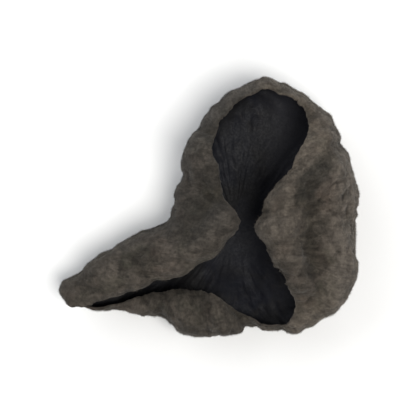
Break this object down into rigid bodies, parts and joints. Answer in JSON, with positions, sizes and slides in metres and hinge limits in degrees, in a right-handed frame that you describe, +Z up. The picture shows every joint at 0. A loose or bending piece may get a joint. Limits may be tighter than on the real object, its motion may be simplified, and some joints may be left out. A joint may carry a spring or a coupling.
{
  "type": "dried wood ear mushroom",
  "caption": "Dried wood ear mushroom: a thin, stiff sheet curled into a crumpled cup, dark and smooth inside, felted outside, cut flat where it grew.",
  "frame": {"origin": "on the surface it rests on, under the middle of the ear's box", "axes": "+Z up through the open side of the ear, +X along its greatest width with the tongue towards -X, +Y towards the round opening"},
  "size_m": [0.0462, 0.04, 0.0168],
  "materials": {
    "ear_flesh": "matte felt outside, smooth and faintly glossy inside"
  },
  "bodies": {
    "root": {"wood_ear": "ear_flesh"}
  },
  "joints": []
}
